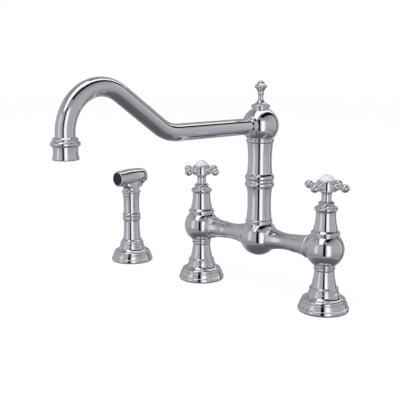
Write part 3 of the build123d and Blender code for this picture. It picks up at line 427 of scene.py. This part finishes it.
# Ceramic discs: a pair in each quarter-turn valve, alumina lapped flat, matt white. The lower one is
# held still over the seat, and the upper one turns on it with the spindle.

alumina, lapped = material("lapped_alumina")
speckle = noise(lapped, 0.6 * MM, 3.0)
finish_material(
    lapped,
    Base_Color=blend_colours(lapped, speckle, (0.80, 0.79, 0.76), (0.88, 0.87, 0.85)),
    Roughness=speckle * 0.2 + 0.35,
    Normal=relief(lapped, speckle, 0.01 * MM),
)
wear(alumina, [tap + disc for tap in TAPS for disc in ("fixed_disc", "moving_disc")])


# Handle buttons: glazed white porcelain domes let into the cups of the cross handles. Each covers the
# screw that holds its handle on the spindle.

porcelain, glaze = material("white_glaze")
pooling = noise(glaze, 5 * MM, 3.0)
finish_material(
    glaze,
    Base_Color=blend_colours(glaze, pooling, (0.72, 0.72, 0.72), (0.77, 0.77, 0.765)),
    Roughness=pooling * 0.06 + 0.10,
    Coat_Weight=0.6,
    Coat_Roughness=0.04,
    Normal=relief(glaze, pooling, 0.05 * MM),
)
wear(porcelain, [tap + "handle_button" for tap in TAPS])


# Marks on the buttons: a plain H and C in dark enamel, let into the domes and a hair proud of them.
# Each is a letter's prism cut to the dome's curve. They read from the user's side.

DOME_R = 10.03 * MM
DOME_CENTRE_Z = 155.57 * MM
MARK_PROUD = 0.03 * MM
MARK_SIZE = 7.4 * MM
MARK_Z = 164.3 * MM
MARK_DEPTH = 2.0 * MM               # of the prism, to each side of its middle
TAP_X = 101.6 * MM

dark_enamel, fired = material("dark_enamel")
fired_clouds = noise(fired, 1.5 * MM, 3.0)
finish_material(
    fired,
    Base_Color=blend_colours(fired, fired_clouds, (0.10, 0.10, 0.11), (0.16, 0.16, 0.17)),
    Roughness=fired_clouds * 0.1 + 0.18,
    Normal=relief(fired, fired_clouds, 0.01 * MM),
)


def dome_mark(letter, x, name):
    """Letter inlaid in the button at x."""
    bpy.ops.object.select_all(action="DESELECT")
    bpy.ops.object.text_add(location=(x, 0.0, MARK_Z))
    mark = bpy.context.object
    mark.data.body = letter
    mark.data.size = MARK_SIZE
    mark.data.align_x = "CENTER"
    mark.data.align_y = "CENTER"
    mark.data.extrude = MARK_DEPTH
    bpy.ops.object.convert(target="MESH")
    bpy.ops.object.select_all(action="DESELECT")
    bpy.ops.mesh.primitive_uv_sphere_add(
        segments=128, ring_count=64, radius=DOME_R + MARK_PROUD, location=(x, 0.0, DOME_CENTRE_Z)
    )
    dome = bpy.context.object
    bpy.context.view_layer.objects.active = mark
    cut = mark.modifiers.new("dome", "BOOLEAN")
    cut.operation = "INTERSECT"
    cut.object = dome
    bpy.ops.object.modifier_apply(modifier=cut.name)
    bpy.data.objects.remove(dome)
    settle(mark, name, dark_enamel)
    return mark


for tap, letter, x in (("hot_tap", "H", -TAP_X), ("cold_tap", "C", TAP_X)):
    mark = dome_mark(letter, x, tap + "_mark")
    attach(mark, tap)


# Rubber: the gaskets under the worktop, the seals let into the flanges and the rings in the joints, all
# moulded, matt black with a fine grain.

rubber, moulded = material("black_rubber")
grain = noise(moulded, 0.5 * MM, 4.0)
finish_material(
    moulded,
    Base_Color=blend_colours(moulded, grain, (0.018, 0.018, 0.019), (0.040, 0.040, 0.042)),
    Roughness=grain * 0.25 + 0.55,
    Normal=relief(moulded, grain, 0.03 * MM),
)
wear(rubber, ["deck_seals", "clamp_gaskets", "bridge_seals", "spout_seals", "aerator_gasket"])


# Nylon: the bushes of the spout and of the spray's holder, the diverter's piston and the aerator, all
# moulded in natural white.

nylon, natural = material("natural_nylon")
flow = noise(natural, 3 * MM, 2.0)
finish_material(
    natural,
    Base_Color=blend_colours(natural, flow, (0.72, 0.71, 0.66), (0.80, 0.79, 0.75)),
    Roughness=flow * 0.15 + 0.38,
    Normal=relief(natural, flow, 0.02 * MM),
)
wear(nylon, ["spout_bush", "spray_holder_bush", "diverter", "aerator"])


# Stainless steel: the clamping washers, the handles' screws, the lever's pin and the spray's spring,
# stamped or drawn and left bare.

steel, drawn = material("stainless_steel")
scratches = noise(drawn, 0.8 * MM, 6.0)
finish_material(
    drawn,
    Base_Color=blend_colours(drawn, scratches, (0.50, 0.50, 0.51), (0.62, 0.62, 0.63)),
    Metallic=1.0,
    Roughness=scratches * 0.2 + 0.22,
    Normal=relief(drawn, scratches, 0.01 * MM),
)
wear(steel, ["clamp_washers", "hot_handle_screw", "cold_handle_screw", "spray_lever_pin", "spray_spring"])


# Spray face: a black moulded plate with rings of jets, matt with a fine grain. It is let into the
# recess of the nose.

face_black, face_paint = material("black_face")
face_grain = noise(face_paint, 0.7 * MM, 3.0)
finish_material(
    face_paint,
    Base_Color=blend_colours(face_paint, face_grain, (0.010, 0.010, 0.011), (0.022, 0.022, 0.023)),
    Roughness=face_grain * 0.2 + 0.42,
    Normal=relief(face_paint, face_grain, 0.02 * MM),
)
wear(face_black, ["spray_face"])


# Jet nubs: the soft rubber lips round the spray's jets, one moulding with a raised ring at each. They
# stand in three rings round a middle one and can be rubbed clear of scale.

JET_PITCH = 2.4 * MM
JET_RINGS = 3
JET_R = 0.55 * MM
LIP_R = 0.95 * MM
LIP_TOP_R = 0.80 * MM
LIP_H = 0.45 * MM
LIP_SIDES = 20
SPRAY_X = -248.3 * MM
NOSE_Z = 127.2 * MM
FACE_Y = -24.9 * MM

rubber_lips, lip_rubber = material("lip_rubber")
lip_grain = noise(lip_rubber, 0.3 * MM, 3.0)
finish_material(
    lip_rubber,
    Base_Color=blend_colours(lip_rubber, lip_grain, (0.030, 0.030, 0.032), (0.055, 0.055, 0.058)),
    Roughness=lip_grain * 0.2 + 0.45,
    Normal=relief(lip_rubber, lip_grain, 0.01 * MM),
)
spots = [(0.0, 0.0)]
for ring in range(1, JET_RINGS + 1):
    for turn in range(6 * ring):
        angle = 2 * math.pi * turn / (6 * ring)
        spots.append((ring * JET_PITCH * math.cos(angle), ring * JET_PITCH * math.sin(angle)))
bpy.ops.object.select_all(action="DESELECT")
bpy.ops.mesh.primitive_circle_add(
    vertices=LIP_SIDES, radius=LIP_R, location=(SPRAY_X, FACE_Y, NOSE_Z), rotation=along_spout
)
nubs = bpy.context.object
bpy.ops.object.transform_apply(location=True, rotation=True, scale=True)
bpy.ops.object.mode_set(mode="EDIT")
bpy.ops.mesh.select_all(action="SELECT")
bpy.ops.mesh.delete(type="VERT")
for across_face, up_face in spots:
    middle = (SPRAY_X + across_face, FACE_Y, NOSE_Z + up_face)
    bpy.ops.mesh.select_all(action="DESELECT")
    bpy.ops.mesh.primitive_circle_add(
        vertices=LIP_SIDES, radius=LIP_R, location=middle, rotation=along_spout
    )
    for shrink, move in ((LIP_TOP_R / LIP_R, -LIP_H), (JET_R / LIP_TOP_R, 0.0), (1.0, LIP_H)):
        bpy.ops.mesh.extrude_region_move(TRANSFORM_OT_translate={"value": (0.0, move, 0.0)})
        bpy.ops.transform.resize(value=(shrink, 1.0, shrink), center_override=middle)
bpy.ops.mesh.select_all(action="SELECT")
bpy.ops.mesh.normals_make_consistent(inside=False)
bpy.ops.object.mode_set(mode="OBJECT")
bpy.ops.object.shade_smooth_by_angle(angle=math.radians(35))
settle(nubs, "spray_jet_nubs", rubber_lips)
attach(nubs, "spray")
